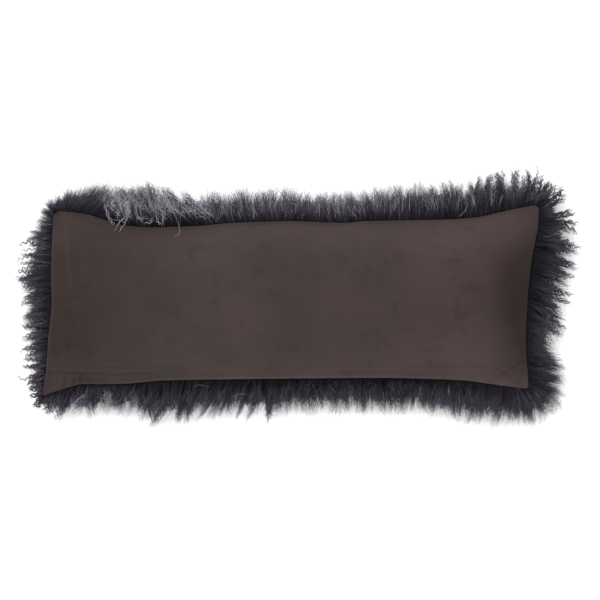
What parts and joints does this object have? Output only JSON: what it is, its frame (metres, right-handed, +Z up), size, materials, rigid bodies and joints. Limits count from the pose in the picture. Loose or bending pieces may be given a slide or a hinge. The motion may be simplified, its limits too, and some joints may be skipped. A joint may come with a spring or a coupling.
{
  "type": "oblong throw pillow",
  "caption": "Oblong filled throw pillow with a plain suede back, lying on its front of long curly lamb pile that stands out past the seam all round.",
  "frame": {"origin": "on the surface it lies on, under the middle of its overall box", "axes": "+X along the pillow, +Z up out of the suede back, the pile front down"},
  "size_m": [1.0174, 0.457, 0.148],
  "materials": {
    "suede": "brushed micro-suede, matt, with a soft nap",
    "fur": "long curly lamb pile, charcoal, lighter at the tips"
  },
  "bodies": {
    "root": {"suede_cushion": "suede", "fur_front": "fur"}
  },
  "joints": []
}
